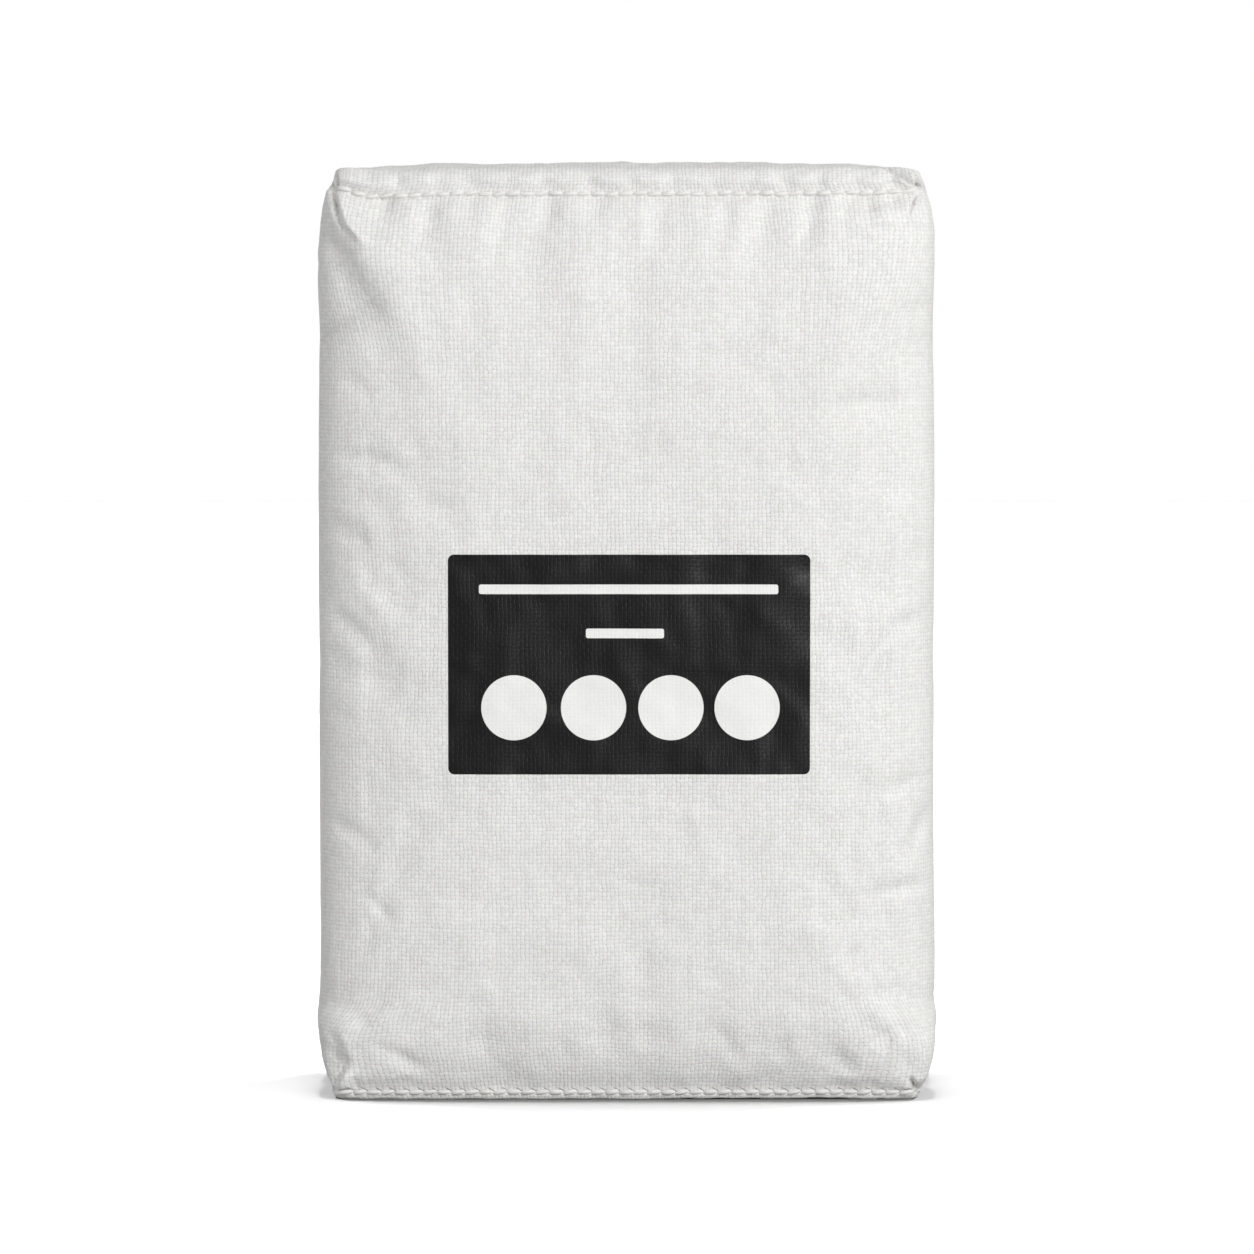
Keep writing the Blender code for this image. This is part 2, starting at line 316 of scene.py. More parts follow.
def addWeights(piece, name, weights):
    group = piece.vertex_groups.new(name=name)
    steps = np.round(weights, 2)
    for level in np.unique(steps):
        if level > 0.0:
            group.add(np.nonzero(steps == level)[0].tolist(), float(level), "REPLACE")


def smoothField(mesh, field, passes):
    # averages a value over each point's neighbours, again and again
    edges = np.empty(len(mesh.edges) * 2, dtype=int)
    mesh.edges.foreach_get("vertices", edges)
    one, other = edges[0::2], edges[1::2]
    count = len(mesh.vertices)
    neighbours = np.bincount(one, minlength=count) + np.bincount(other, minlength=count)
    field = field.copy()
    for step in range(passes):
        for axis in range(field.shape[1]):
            total = np.bincount(one, weights=field[other, axis], minlength=count)
            total += np.bincount(other, weights=field[one, axis], minlength=count)
            field[:, axis] = 0.5 * field[:, axis] + 0.5 * total / neighbours
    return field


def onSides(mesh):
    across, h = readLayer(mesh, "across"), readLayer(mesh, "up")
    return easedStep(np.abs(across), 0.93, 1.0) * easedStep(h, 0.03, 0.07) * easedStep(0.44 - h, 0.02, 0.06)


def holdSeams(piece):
    # the seams, the rim and the foot are held, and the cloth beside the seams has the most slack
    mesh = piece.data
    h, along, onFloor = readLayer(mesh, "up"), readLayer(mesh, "along"), readLayer(mesh, "onFloor")
    atFront = easedStep(-along, 0.90, 0.98)
    onTopSeam = bump(h, sack["topSeam"], 0.0012) * atFront
    onBottomSeam = bump(h, sack["bottomSeam"], 0.0015) * atFront
    onRim = 0.6 * bump(h, sack["topRing"], 0.0016) * easedStep(-along, -1.2, 0.2)
    onFoot = 0.5 * easedStep(h, 0.004, 0.0)
    everywhere = np.full_like(h, sack["leastHeld"])
    held = np.maximum.reduce([onTopSeam, onBottomSeam, onRim, onFloor, onFoot, everywhere])
    underTopSeam = bump(h, sack["topSeam"], 0.030) * easedStep(-along, -0.2, 0.6)
    addWeights(piece, "held", held)
    addWeights(piece, "slack", np.maximum(underTopSeam, bump(h, sack["bottomSeam"], 0.026)))
    return held


def simulateFilling(piece):
    cloth = piece.modifiers.new("Filling", "CLOTH")
    settings = cloth.settings
    settings.quality = 6
    settings.mass = 0.15
    settings.tension_stiffness = 40.0
    settings.compression_stiffness = 30.0
    settings.shear_stiffness = 15.0
    settings.bending_stiffness = 0.4
    settings.use_pressure = True
    settings.uniform_pressure_force = sack["pressure"]
    settings.vertex_group_mass = "held"
    settings.shrink_min = -sack["slack"]
    settings.shrink_max = -sack["slackAtSeams"]
    settings.vertex_group_shrink = "slack"
    settings.effector_weights.gravity = 0.0
    cloth.collision_settings.use_collision = False
    cloth.point_cache.frame_start = 1
    cloth.point_cache.frame_end = sack["frames"]
    for step in range(1, sack["frames"] + 1):
        bpy.context.scene.frame_set(step)
    applyModifier(piece, cloth)


def fillSack(piece):
    # keeps the folds of the simulation, and takes back its broad swelling
    mesh = piece.data
    before = readPoints(mesh)
    held = holdSeams(piece)
    simulateFilling(piece)
    moved = readPoints(mesh) - before
    print("cloth moved, mm: mean", round(float(np.linalg.norm(moved, axis=1).mean()) * 1000, 2))
    moved -= smoothField(mesh, moved, sack["swellingPasses"]) * (1.0 - held)[:, None]
    h = readLayer(mesh, "up")
    inside = easedStep(1.0 - np.abs(readLayer(mesh, "across")), 0.10, 0.45) * easedStep(h, 0.03, 0.10)
    inside *= easedStep(0.44 - h, 0.015, 0.07)
    moved *= (sack["foldStrength"] + (sack["foldStrengthInside"] - sack["foldStrength"]) * inside)[:, None]
    moved[:, 0] *= 1.0 - sack["sideCalm"] * onSides(mesh)
    length = np.linalg.norm(moved, axis=1)
    kept = sack["mostMove"] * np.tanh(length / sack["mostMove"])
    moved *= (kept / np.maximum(length, 1e-9))[:, None]
    after = before + moved
    after[:, 2] = np.maximum(after[:, 2], 0.0)
    writePoints(mesh, after)
    piece.vertex_groups.clear()
    most = round(float(length.max()) * 1000, 2)
    print("folds kept, mm: mean", round(float(length.mean()) * 1000, 2), "most", most)


def subdivideOnce(piece, name):
    smooth = piece.modifiers.new(name, "SUBSURF")
    smooth.levels = 1
    smooth.render_levels = 1
    applyModifier(piece, smooth)


# folds and dents worked into the filled cloth: paths on the front in mm (across, up),
# then how far the mark reaches, how high it stands (below zero: how deep), and how far it tips up on its left

handFolds = {
    "upper left corner": [
        ([(-145.3, 434), (-137.3, 420), (-127.4, 402), (-116.4, 383.5), (-103.5, 357.5)], 8.5, 0.0, 1.2),
        ([(-147, 420), (-142, 415.5), (-137, 411)], 2.6, -0.8),
        ([(-140.6, 451), (-140.4, 447), (-140.2, 442)], 0.9, -2.6),
        ([(-142.2, 452), (-142.0, 446)], 0.9, 0.8),
        ([(-142.4, 445), (-141.2, 438), (-139.2, 430), (-136.2, 423)], 1.5, -5.4),
        ([(-145.3, 441.5), (-140.8, 441.8)], 1.8, 0.9),
        ([(-107.5, 384.5), (-103.5, 361.5)], 5.0, -0.6, 0.3),
    ],
    "upper right corner": [
        ([(116.4, 456), (126.4, 453), (135.3, 448), (141.3, 442.5)], 1.6, 0.0, -0.8),
        ([(139.0, 452), (139.4, 444)], 1.3, 1.0),
        ([(141.4, 451.5), (141.8, 448.5)], 0.8, -3.0),
        ([(141.8, 446), (142.2, 442.8)], 0.8, -3.0),
        ([(140.8, 440.5), (138.4, 435), (137.0, 430.5)], 0.8, -1.5),
        ([(142.0, 440), (139.8, 434.5), (138.4, 431)], 0.8, 0.8),
        ([(143.2, 439.5), (141.2, 434)], 0.8, -0.8),
        ([(148.3, 387.5), (139.3, 385.5), (131.3, 381.5)], 3.2, -1.0),
    ],
    "right side": [
        ([(100.5, 337.5), (117.4, 339.5), (140.3, 342.5)], 4.2, -1.4),
        ([(107.5, 323.5), (123.4, 326.5)], 8.0, 0.5),
        ([(124.4, 224.5), (130.3, 231.5), (146.3, 235.5)], 2.8, -1.5),
        ([(107.5, 227.5), (117.4, 228.5)], 8.0, 0.7),
        ([(123.4, 150.5), (133.3, 153.5), (146.3, 158.5)], 3.5, -1.0),
        ([(149.2, 142.5), (140.3, 125.5), (132.3, 117.5)], 3.0, -1.2),
        ([(146.3, 105.5), (129.3, 102.5), (116.4, 98.5)], 3.2, -1.3),
        ([(107.5, 87.5), (121.4, 91.5)], 4.0, -0.6),
        ([(111.4, 51.5), (139.3, 53.5)], 4.2, -0.8),
        ([(121.4, 301.5), (144.3, 297.5)], 5.0, -0.5),
        ([(87.6, 306.5), (69.7, 312.5)], 5.0, -0.4),
    ],
    "left side": [
        ([(-142.3, 314.5), (-119.4, 312.5), (-104.5, 305.5)], 4.2, -1.4),
        ([(-129.3, 300.5), (-111.4, 298.5)], 6.0, 0.6),
        ([(-98.5, 294.5), (-81.6, 281.5)], 5.0, -0.7),
        ([(-146.3, 281.5), (-131.3, 275.5), (-120.4, 268.5)], 4.5, -1.4),
        ([(-117.4, 264.5), (-99.5, 253.5)], 5.0, -0.6),
        ([(-144.3, 238.5), (-133.3, 230.5), (-117.4, 214.5)], 5.6, -1.9),
        ([(-127.4, 246.5), (-111.4, 233.5)], 5.0, 0.8),
        ([(-145.3, 136.5), (-130.3, 129.5), (-120.4, 120.5)], 4.2, -1.4),
        ([(-128.4, 102.5), (-111.4, 85.5)], 4.5, -1.1),
        ([(-145.3, 189.5), (-129.3, 185.5)], 4.5, -0.7),
        ([(-137.3, 353.5), (-121.4, 341.5)], 5.0, -0.8),
    ],
    "foot": [
        ([(-139.0, 15), (-137.6, 7), (-138.5, 1)], 4.6, 1.6),
        ([(-132, 12), (-131.5, 2)], 2.0, -1.2),
        ([(137, 8), (139.5, 1)], 3.0, 1.6),
        ([(-143, 4), (-140, 10), (-137.4, 15.3), (-133.5, 20)], 1.2, -2.0),
        ([(-117.4, 34.5), (-107.5, 27.5)], 6.5, 1.0),
        ([(-120.4, 26.5), (-109.5, 21.5), (-95.5, 12.5)], 3.5, -1.4),
        ([(-135.3, 45.5), (-123.4, 35.5)], 4.0, -1.0),
        ([(8, 39.5), (11.9, 23.5)], 4.0, -0.8),
        ([(40.8, 40.5), (49.8, 29.5), (56.7, 17.5)], 4.0, -1.2),
        ([(98.5, 27.5), (107.5, 17.5), (113.4, 10.5)], 4.0, -1.0),
        ([(122.4, 28.5), (131.3, 36), (143.3, 36.5)], 2.7, -1.6),
        ([(127.4, 24.5), (136.3, 23.5)], 7.0, 1.6),
        ([(139.6, 10.5), (140.1, 7.4), (141.3, 4.4), (142.2, 0)], 1.1, -4.0),
        ([(-71.6, 35.5), (-65.7, 19.5)], 4.5, -0.7),
        ([(-29.9, 31.5), (-26.9, 16.5)], 4.0, -0.6),
        ([(75.6, 31.5), (79.6, 15.5)], 4.0, -0.6),
    ],
    "top seam": [       # across, drop below the seam, depth
        (-116, 15, -1.5), (-94, 26, -1.6), (-74, 18, -0.9), (-57, 34, -1.2), (-36, 19, -1.9), (-14, 14, -1.0),
        (18, 38, -1.1), (50, 30, -1.8), (69, 30, -1.4), (91, 26, -2.6), (108, 14, -2.0), (118.5, 9, -2.0),
        (130, 8, -1.6),
    ],
    "top hem": [        # across, rise above the seam, depth
        (-111, 8, -1.4), (-91, 7, -0.8), (-77, 8, -1.3), (-57, 7, -0.8), (-40, 8, -1.5), (-18, 9, -1.3),
        (2, 7, -0.8), (23, 9, -1.5), (42, 8, -0.8), (60, 8, -1.0), (77, 9, -1.5), (94, 9, -1.5),
        (112, 8, -1.0), (130, 8, -1.3),
    ],
}

foldFactors = {     # what multiplies the reach and height of a place's marks; at the top, the reach itself
    "right side": (1.15, 1.75),
    "left side": (0.85, 1.3),
    "top seam": (4.8, 1.3),
    "top hem": (3.6, 1.5),
}


def roundedPath(path, passes):
    # cuts the corners off a path, so that what is measured from it far away changes evenly
    for _ in range(passes):
        cut = [path[0]]
        for (ax, az), (bx, bz) in zip(path[:-1], path[1:]):
            for share in (0.25, 0.75):
                cut.append(((1.0 - share) * ax + share * bx, (1.0 - share) * az + share * bz))
        path = cut + [path[-1]]
    return path


# where the cloth stands back beside a path: how far the drop reaches at the path's start and end
# (below zero: on its left), its depth, and how far off the cloth has come forward again (0: it doesn't)

upperLeftEdge = [(-142, 444), (-139, 430), (-129, 422.5), (-117, 413), (-108, 405), (-100, 393), (-94, 376)]
droppedCorners = [
    (roundedPath(upperLeftEdge, 3), 8.0, 52.0, 9.4, 0.0),
    ([(-142, 444), (-139, 430), (-131.5, 422), (-124, 414)], 1.3, 3.0, 3.2, 0.0),
    ([(144, 443), (136.5, 445.5), (124, 453), (112, 457)], 1.3, 1.3, 8.5, 7.2),
    ([(143.4, -3), (142.3, 1.5), (140.4, 6), (139.6, 9.4)], 1.1, 1.1, 4.6, 12.0),
    ([(-142.2, 6), (-139.8, 10.4), (-137, 15.6), (-133.2, 20.4)], -1.3, -1.5, 2.8, 26.0),
    ([(-142.2, 6), (-137, 15.6), (-133.2, 20.4), (-134.6, 26), (-138, 34), (-142, 44)], -8.0, -7.0, 3.4, 0.0),
]

cornerCuts = (      # the faces that are divided finer: in front of, further out than, and above or below
    {"front": -0.012, "out": 0.104, "above": 0.396, "below": 0.040},
    {"front": -0.018, "out": 0.126, "above": 0.426, "below": 0.026},
)

tiltPeak = 2.33     # brings the tilt's own curve to 1 at its highest


def nearPath(x, z, path):
    # distance to a path, below zero on its right, and how far along it the nearest place lies
    steps = np.diff(np.array(path), axis=0)
    lengths = np.linalg.norm(steps, axis=1)
    run = np.concatenate([[0.0], np.cumsum(lengths)]) / lengths.sum()
    best = np.full_like(x, 1e9)
    share = np.zeros_like(x)
    for k, (dx, dz) in enumerate(steps):
        px, pz = x - path[k][0], z - path[k][1]
        t = np.clip((px * dx + pz * dz) / lengths[k] ** 2, 0.0, 1.0)
        away = np.hypot(px - t * dx, pz - t * dz)
        signed = np.where(dx * pz - dz * px >= 0.0, away, -away)
        nearer = away < np.abs(best)
        best = np.where(nearer, signed, best)
        share = np.where(nearer, run[k] + t * (run[k + 1] - run[k]), share)
    return best, share


def fallAway(x, z, path, firstReach, lastReach, depth, forwardAgain):
    away, share = nearPath(x, z, path)
    beyond = -away if firstReach > 0.0 else away
    reach = np.abs(firstReach + (lastReach - firstReach) * share)
    drop = depth * easedStep(beyond, 0.0, reach)
    if forwardAgain:
        drop *= 1.0 - straightStep(beyond, reach, forwardAgain)
    return drop * easedStep(share, -0.1, 0.1) * easedStep(1.0 - share, 0.0, 0.35)


def foldLift(x, z, path, reach, height, tilt):
    away, share = nearPath(x, z, path)
    ends = easedStep(share, -0.15, 0.30) * easedStep(1.0 - share, -0.15, 0.45)
    across = away / reach
    return (height + tiltPeak * tilt * across) * np.exp(-across ** 2) * ends


def allFolds():
    for place, marks in handFolds.items():
        broader, stronger = foldFactors.get(place, (1.0, 1.0))
        for mark in marks:
            if place == "top seam":
                across, drop, depth = mark
                bend, end = (across - 0.1 * drop, 441 - 0.6 * drop), (across - 0.25 * drop, 441 - drop)
                yield [(across, 441), bend, end], broader, stronger * depth, 0.0
            elif place == "top hem":
                across, rise, depth = mark
                yield [(across, 443.5), (across * 0.99, 443.5 + rise)], broader, stronger * depth, 0.0
            else:
                path, reach, height, *tilt = mark
                yield path, broader * reach, stronger * height, tilt[0] if tilt else 0.0


def atCorner(place, cut):
    if place.y > cut["front"] or abs(place.x) < cut["out"]:
        return False
    return place.z > cut["above"] or place.z < cut["below"]


def cutFiner(piece, cut):
    # divides the faces at the front corners once more, so that they can carry sharp folds
    makeActive(piece)
    bpy.ops.object.mode_set(mode="EDIT")
    bpy.ops.mesh.select_mode(type="FACE")
    bpy.ops.mesh.select_all(action="DESELECT")
    editMesh = bmesh.from_edit_mesh(piece.data)
    for face in editMesh.faces:
        face.select = atCorner(face.calc_center_median(), cut)
    bmesh.update_edit_mesh(piece.data)
    bpy.ops.mesh.subdivide(number_cuts=1, smoothness=0.0)
    bpy.ops.mesh.vertices_smooth(factor=0.5, repeat=1)
    bpy.ops.object.mode_set(mode="OBJECT")


def workFolds(piece):
    mesh = piece.data
    points = readPoints(mesh)
    normals = smoothField(mesh, readPoints(mesh, "normal"), sack["normalPasses"])
    normals /= np.linalg.norm(normals, axis=1)[:, None]
    facing = easedStep(-normals[:, 1], 0.02, 0.35) * (points[:, 1] < 0.0)
    x, z = points[:, 0] * 1000.0, points[:, 2] * 1000.0     # the paths are in mm
    lift = np.zeros(len(points))
    for path, reach, height, tilt in allFolds():
        lift += foldLift(x, z, path, reach, height, tilt)
    sewn = np.maximum(bump(z / 1000.0, sack["topSeam"], 0.0016), bump(z / 1000.0, sack["bottomSeam"], 0.0014))
    lift *= 1.0 - sack["seamHold"] * sewn * (np.abs(x) < 140.0)
    points += normals * (lift * facing / 1000.0)[:, None]
    towardsFront = easedStep(-points[:, 1], -0.004, 0.034)
    for drop in droppedCorners:
        points[:, 1] += fallAway(x, z, *drop) * towardsFront / 1000.0
    writePoints(mesh, points)


def keepAboveFloor(piece):
    points = readPoints(piece.data)
    points[:, 2] = np.maximum(points[:, 2], 0.0)
    writePoints(piece.data, points)


def crumple(piece):
    # the small unevenness of stiff cloth that has been handled
    addWeights(piece, "uneven", 1.0 - sack["evenSides"] * onSides(piece.data))
    for name, size, strength in sack["dents"]:
        noise = bpy.data.textures.new(name, "CLOUDS")
        noise.noise_scale = size
        noise.noise_depth = 1
        dents = piece.modifiers.new(name, "DISPLACE")
        dents.texture = noise
        dents.texture_coords = "LOCAL"
        dents.strength = strength
        dents.vertex_group = "uneven"
        applyModifier(piece, dents)
    piece.vertex_groups.clear()


sackPiece = makeSackCage()
print("sack cage:", len(sackPiece.data.polygons), "faces")
fillSack(sackPiece)
subdivideOnce(sackPiece, "Fine cloth")
for cut in cornerCuts:
    cutFiner(sackPiece, cut)
workFolds(sackPiece)
crumple(sackPiece)
keepAboveFloor(sackPiece)
print("sack filled:", len(sackPiece.data.polygons), "faces")


# the two rows of closing thread

thread = {
    "stitches": 41,
    "ends": (-0.1402, 0.1402),
    "halfLength": 0.0040,       # of one stitch, so that each overlaps the next a little
    "thickness": 0.00102,       # half its height on the cloth
    "proud": 0.00105,           # half its thickness off the cloth
    "rise": 0.00070,            # of its middle, off the cloth
    "dive": 0.00100,            # of its ends, into the cloth
    "slant": 7.0,               # degrees, and how much it varies
    "slantSpread": 4.0,
    "plump": (1.10, 1.24),      # the top row, the bottom row, and how much each stitch varies
    "plumpSpread": 0.10,
    "facing": 1.2,              # how much the stitches turn to the front, where the cloth leans
    "twist": 0.0013,            # from one ply to the next
    "colour": (0.88, 0.87, 0.845, 1.0),
    # painted shade in the grooves between the twisted plies, also the darker tone of the random fuzz
    "plyShadeAndFuzz": (0.66, 0.64, 0.60, 1.0),
}


def stitchPitch():
    left, right = thread["ends"]
    return (right - left) / thread["stitches"]


# cloth material: flat plastic tapes in a plain weave, with the dark panel printed on the front

clothLook = {
    "colour": (0.828, 0.824, 0.808, 1.0),
    "gapColour": (0.48, 0.472, 0.455, 1.0),     # the holes between crossing tapes
    "greyed": (0.62, 0.60, 0.57, 1.0),
    "stitchDimpleShade": (0.26, 0.25, 0.235, 1.0),         # painted shade of the small dimples beside the foot's stitches
    "tapeWidth": 0.00198,
    "waver": 0.55,              # how far the tapes wander, in tape widths
    "jitter": 0.30,
    "evenDepth": 0.10,          # how much of the gap colour lies everywhere
    "holeDepth": 0.42,
    "gapDepth": (0.11, 0.10),   # between upright tapes, between level tapes
    "tapeSpread": 0.12,         # how much one tape differs from the next
    "grainSpread": 0.50,        # one place on a tape from the next
    "crossingSpread": 0.20,     # and one crossing from the next
    "nextTape": 0.77,           # steps through the noise from tape to tape, and along a tape
    "alongTape": 0.035,
    "weaveHeight": 0.00036,
    "specular": 0.16,
}

# a box: its middle across and up, half its width, half its height, its corner

printLook = {
    "ink": (0.0036, 0.0036, 0.0036, 1.0),
    "wornInk": (0.20, 0.20, 0.20, 1.0),
    "wear": 0.012,
    "white": (0.828, 0.827, 0.810, 1.0),
    "whiteGaps": 0.18,          # how much of the weave shows in the white
    "levelling": 0.72,          # how much the ink fills the weave's relief
    "smoother": 0.15,
    "edge": 0.00012,
    "panel": (0.0016, 0.2135, 0.0877, 0.0534, 0.0030),
    "rules": ((0.00135, 0.2501, 0.0724, 0.0023, 0.0010), (-0.0004, 0.2287, 0.0189, 0.0023, 0.0010)),
    "discs": ((-0.0542, 0.1926), (-0.0156, 0.1926), (0.0219, 0.1926), (0.0588, 0.1926)),
    "discRadius": 0.0158,
}


def newMaterial(name):
    material = bpy.data.materials.new(name)
    material.use_nodes = True
    return material, material.node_tree.nodes, material.node_tree.links


def feed(links, socket, value):
    if isinstance(value, bpy.types.NodeSocket):
        links.new(value, socket)
    else:
        socket.default_value = value


class NodeBench:
    # short ways to add and join the nodes of one material

    def __init__(self, material):
        self.nodes, self.links = material.node_tree.nodes, material.node_tree.links

    def add(self, kind, output, inputs):
        node = self.nodes.new(kind)
        for name, value in inputs.items():
            feed(self.links, node.inputs[name], value)
        return node.outputs[output]

    def math(self, operation, *values, clamp=False):
        node = self.nodes.new("ShaderNodeMath")
        node.operation = operation
        node.use_clamp = clamp
        for k, value in enumerate(values):
            feed(self.links, node.inputs[k], value)
        return node.outputs[0]

    def vary(self, value, amount, base):
        # adds to the base a value that runs from 0 to 1, taken about its middle
        return self.math("MULTIPLY_ADD", self.math("SUBTRACT", value, 0.5), amount, base)

    def ramp(self, value, low, high, toLow=0.0, toHigh=1.0):
        result = self.straightRamp(value, low, high, toLow, toHigh)
        result.node.interpolation_type = "SMOOTHSTEP"
        return result

    def straightRamp(self, value, low, high, toLow, toHigh):
        return self.add("ShaderNodeMapRange", "Result", {
            "Value": value, "From Min": low, "From Max": high, "To Min": toLow, "To Max": toHigh})

    def mix(self, factor, one, other):
        node = self.nodes.new("ShaderNodeMix")
        node.data_type = "RGBA"
        feed(self.links, node.inputs["Factor"], factor)
        feed(self.links, node.inputs["A"], one)
        feed(self.links, node.inputs["B"], other)
        return node.outputs["Result"]

    def scaled(self, vector, scale):
        return self.add("ShaderNodeMapping", "Vector", {"Vector": vector, "Scale": scale})

    def noise(self, vector, scale, detail=2.0, output="Fac"):
        return self.add("ShaderNodeTexNoise", output, {"Vector": vector, "Scale": scale, "Detail": detail})

    def split(self, vector):
        node = self.nodes.new("ShaderNodeSeparateXYZ")
        self.links.new(vector, node.inputs["Vector"])
        return node.outputs["X"], node.outputs["Y"], node.outputs["Z"]

    def combine(self, x, y, z=0.0):
        return self.add("ShaderNodeCombineXYZ", "Vector", {"X": x, "Y": y, "Z": z})

    def bumpFrom(self, height, distance):
        return self.add("ShaderNodeBump", "Normal", {"Height": height, "Distance": distance})


def splitByRay(bench, forLight, forCamera, surface):
    # one look for the light that falls on the sack, another for what the camera sees
    seen = bench.nodes.new("ShaderNodeLightPath")
    either = bench.nodes.new("ShaderNodeMixShader")
    bench.links.new(seen.outputs["Is Camera Ray"], either.inputs["Fac"])
    bench.links.new(forLight.outputs[0], either.inputs[1])
    bench.links.new(forCamera.outputs[0], either.inputs[2])
    bench.links.new(either.outputs[0], surface)


def roundedBox(bench, x, z, middleX, middleZ, halfWide, halfTall, corner):
    # 1 inside a rounded rectangle, 0 outside it
    offX = bench.math("ABSOLUTE", bench.math("SUBTRACT", x, middleX))
    offZ = bench.math("ABSOLUTE", bench.math("SUBTRACT", z, middleZ))
    wide = bench.math("MAXIMUM", bench.math("SUBTRACT", offX, halfWide - corner), 0.0)
    tall = bench.math("MAXIMUM", bench.math("SUBTRACT", offZ, halfTall - corner), 0.0)
    squares = bench.math("ADD", bench.math("MULTIPLY", wide, wide), bench.math("MULTIPLY", tall, tall))
    return bench.ramp(bench.math("SQRT", squares), corner + printLook["edge"], corner - printLook["edge"])


def wanderingTapes(bench, flat):
    # the cloth's two directions in tape widths, wandering a little as real tapes do
    wander = bench.split(bench.noise(flat, 0.12, 3.0, "Color"))
    u, v = bench.split(flat)[:2]
    jitter = bench.split(bench.noise(flat, 0.75, 1.0, "Color"))
    for amount, shift in ((clothLook["waver"], wander), (clothLook["jitter"], jitter)):
        u = bench.vary(shift[0], 2.0 * amount, u)
        v = bench.vary(shift[1], 2.0 * amount, v)
    return u, v


def weavePattern(bench, flat):
    # how much of the gap colour shows, and how high the cloth stands
    u, v = wanderingTapes(bench, flat)
    # 1 on a tape, 0 in the gap beside it
    onUpright = bench.ramp(bench.math("PINGPONG", u, 0.5), 0.0, 0.22)
    onLevel = bench.ramp(bench.math("PINGPONG", v, 0.5), 0.0, 0.20)
    uprightGap = bench.math("SUBTRACT", 1.0, onUpright)
    levelGap = bench.math("SUBTRACT", 1.0, onLevel)
    hole = bench.math("MULTIPLY", uprightGap, levelGap)
    waveU = bench.math("SINE", bench.math("MULTIPLY", u, math.pi))
    waveV = bench.math("SINE", bench.math("MULTIPLY", v, math.pi))
    overUnder = bench.math("MULTIPLY", waveU, waveV)
    uprightHeight = bench.math("MULTIPLY", onUpright, bench.straightRamp(overUnder, -1.0, 1.0, 0.25, 1.0))
    levelHeight = bench.math("MULTIPLY", onLevel, bench.straightRamp(overUnder, 1.0, -1.0, 0.10, 0.85))
    height = bench.math("MAXIMUM", uprightHeight, levelHeight)

    # each tape has its own tone, and the tone drifts along it
    column, line = bench.math("FLOOR", u), bench.math("FLOOR", v)
    nextTape, alongTape = clothLook["nextTape"], clothLook["alongTape"]
    onColumn = bench.combine(bench.math("MULTIPLY", column, nextTape), bench.math("MULTIPLY", v, alongTape))
    onLine = bench.combine(bench.math("MULTIPLY", u, alongTape), bench.math("MULTIPLY", line, nextTape), 7.3)
    uprightTone, levelTone = bench.noise(onColumn, 1.0, 1.0), bench.noise(onLine, 1.0, 1.0)
    grain = bench.noise(flat, 2.4, 1.0)
    crossing = bench.nodes.new("ShaderNodeTexWhiteNoise")
    crossing.noise_dimensions = "2D"
    bench.links.new(bench.combine(column, line), crossing.inputs["Vector"])
    tone = bench.vary(uprightTone, 2.0 * clothLook["tapeSpread"], 0.0)
    tone = bench.vary(levelTone, 1.1 * clothLook["tapeSpread"], tone)
    tone = bench.vary(grain, clothLook["grainSpread"], tone)
    tone = bench.vary(crossing.outputs["Value"], clothLook["crossingSpread"], tone)

    holeStrength = bench.ramp(bench.noise(flat, 0.45, 1.0), 0.32, 0.68, 0.20, 1.45)
    betweenUpright, betweenLevel = clothLook["gapDepth"]
    gaps = bench.math("MULTIPLY", hole, bench.math("MULTIPLY", holeStrength, clothLook["holeDepth"]))
    gaps = bench.math("MULTIPLY_ADD", uprightGap, betweenUpright, gaps)
    gaps = bench.math("MULTIPLY_ADD", levelGap, betweenLevel, gaps)
    gaps = bench.math("ADD", gaps, clothLook["evenDepth"])
    return bench.math("SUBTRACT", gaps, tone, clamp=True), height


def footPull(bench, x, y, z):
    # 1 where a stitch of the foot pulls at the cloth above it; there the cloth is painted dark as the shade
    # of its dimple
    seam = sack["bottomSeam"]
    joint = bench.math("MULTIPLY_ADD", bench.math("SUBTRACT", z, seam), 1.7, x)
    joint = bench.math("PINGPONG", bench.math("SUBTRACT", joint, thread["ends"][0]), stitchPitch() / 2.0)
    dimpleShade = bench.ramp(joint, 0.00090, 0.00035)
    for mask in (bench.ramp(z, seam + 0.0018, seam + 0.0010), bench.math("GREATER_THAN", z, seam - 0.0006),
                 bench.math("LESS_THAN", y, 0.0), bench.ramp(bench.math("ABSOLUTE", x), 0.141, 0.139)):
        dimpleShade = bench.math("MULTIPLY", dimpleShade, mask)
    return dimpleShade


def printMasks(bench, x, y, z):
    # 1 on the printed panel, and 1 on its white rules and discs
    onFront = bench.math("LESS_THAN", y, 0.0)
    panel = bench.math("MULTIPLY", roundedBox(bench, x, z, *printLook["panel"]), onFront)
    radius = printLook["discRadius"]
    boxes = list(printLook["rules"])
    boxes += [(middleX, middleZ, radius, radius, radius) for middleX, middleZ in printLook["discs"]]
    white = roundedBox(bench, x, z, *boxes[0])
    for box in boxes[1:]:
        white = bench.math("MAXIMUM", white, roundedBox(bench, x, z, *box))
    return panel, white


